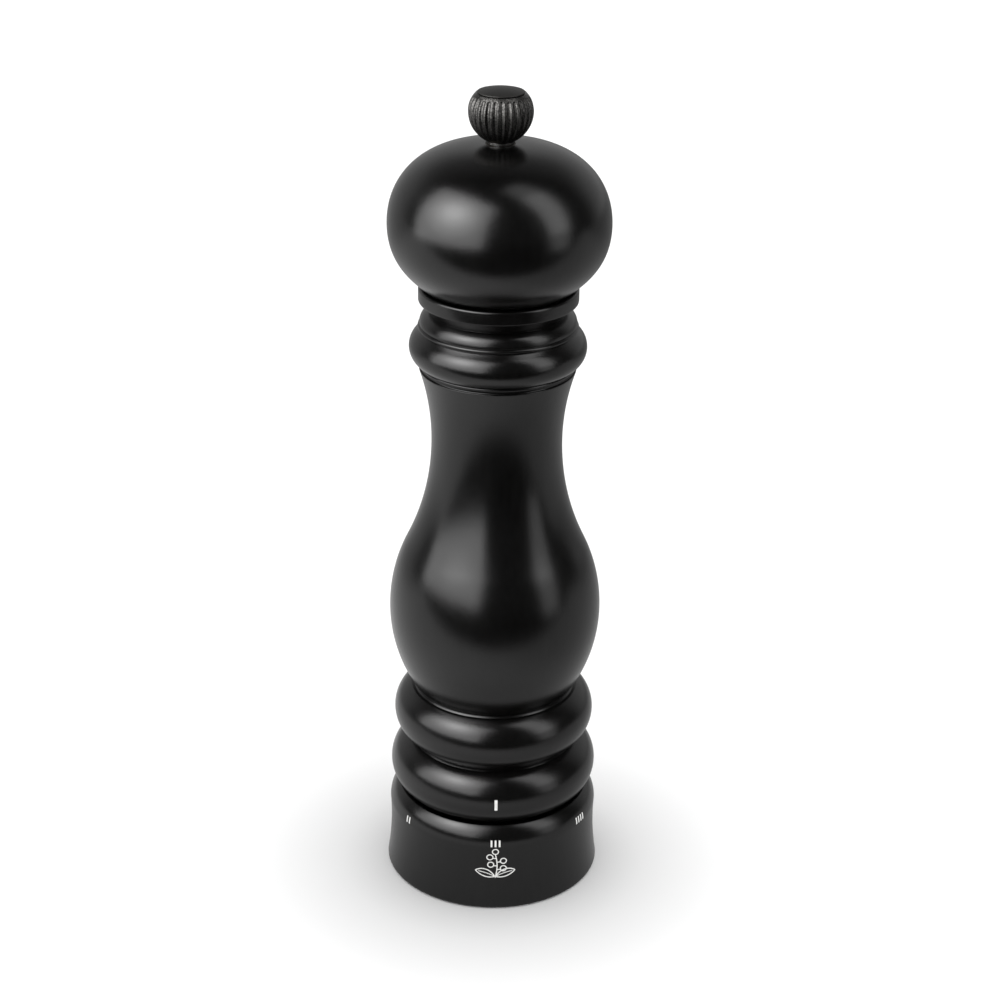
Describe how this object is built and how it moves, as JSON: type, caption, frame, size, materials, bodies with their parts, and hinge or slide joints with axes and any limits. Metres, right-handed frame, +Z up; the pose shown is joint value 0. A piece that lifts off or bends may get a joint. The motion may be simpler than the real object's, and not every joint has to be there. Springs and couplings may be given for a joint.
{
  "type": "pepper mill",
  "caption": "Table pepper mill: turned black lacquered body, turning head on a square shaft, fluted top knob, steel grinding cones and a foot ring that sets the grind.",
  "frame": {"origin": "on the mill's axis, in the plane of the grind ring's underside", "axes": "+Z up along the mill's axis, -Y towards the front where the index mark is, +X to the right"},
  "size_m": [0.0586, 0.0586, 0.22],
  "materials": {
    "lacquered_wood": "satin black lacquer",
    "knob_metal": "black metallic satin",
    "brass": "turned",
    "bright_steel": "zinc plated",
    "spring_steel": "drawn wire",
    "burr_steel": "case hardened",
    "shaft_aluminium": "drawn bar",
    "black_plastic": "moulded",
    "ring_plastic": "moulded",
    "bearing_plastic": "moulded"
  },
  "bodies": {
    "barrel": {"barrel": "lacquered_wood", "mechanism_housing": "black_plastic", "housing_screws": "bright_steel", "top_bridge": "black_plastic", "bridge_screws": "bright_steel", "shaft_bush": "bearing_plastic", "thrust_washer": "bright_steel", "retaining_wire": "spring_steel", "detent_spring": "spring_steel"},
    "drive": {"shaft": "shaft_aluminium", "shaft_clip": "bright_steel", "rotor": "burr_steel", "rotor_screw": "bright_steel", "rotor_washer": "bright_steel", "rotor_spring": "spring_steel", "spring_seat": "bright_steel"},
    "head": {"head": "lacquered_wood", "head_ferrule": "brass", "drive_plate": "bright_steel", "plate_screws": "bright_steel"},
    "knob_washer": {"knob_washer": "knob_metal"},
    "knob": {"knob_body": "knob_metal", "knob_cap": "knob_metal", "knob_insert": "brass"},
    "grind_ring": {"grind_ring": "lacquered_wood", "ring_insert": "ring_plastic"},
    "stator": {"stator_carrier": "black_plastic", "stator_ring": "burr_steel"},
    "detent": {"detent_ball": "bright_steel"}
  },
  "joints": [
    {"name": "head_turn", "type": "hinge", "parent": "barrel", "child": "drive", "pos_m": [0, 0, 0.05], "axis": [0, 0, 1], "continuous": true},
    {"name": "head_lift", "type": "slide", "parent": "drive", "child": "head", "axis": [0, 0, 1], "range_m": [0, 0.065]},
    {"name": "knob_rise", "type": "slide", "parent": "head", "child": "knob_washer", "axis": [0, 0, 1], "range_m": [0, 0.0081]},
    {"name": "knob_turn", "type": "hinge", "parent": "knob_washer", "child": "knob", "pos_m": [0, 0, 0.212], "axis": [0, 0, 1], "range_deg": [0, 3600]},
    {"name": "grind_set", "type": "hinge", "parent": "barrel", "child": "grind_ring", "pos_m": [0, 0, 0.012], "axis": [0, 0, 1], "range_deg": [-168, 112]},
    {"name": "stator_lift", "type": "slide", "parent": "barrel", "child": "stator", "axis": [0, 0, 1], "range_m": [-0.0006, 0.0009]},
    {"name": "detent_click", "type": "slide", "parent": "barrel", "child": "detent", "axis": [0, 0, 1], "range_m": [0, 0.0006], "stiffness_N_per_m": 200, "springref_m": -0.002, "deforming": ["detent_spring"]}
  ],
  "couplings": [
    {"joint": "knob_rise", "follows": "knob_turn", "m_per_rad": 0.00012732},
    {"joint": "stator_lift", "follows": "grind_set", "m_per_rad": -0.00028648}
  ]
}
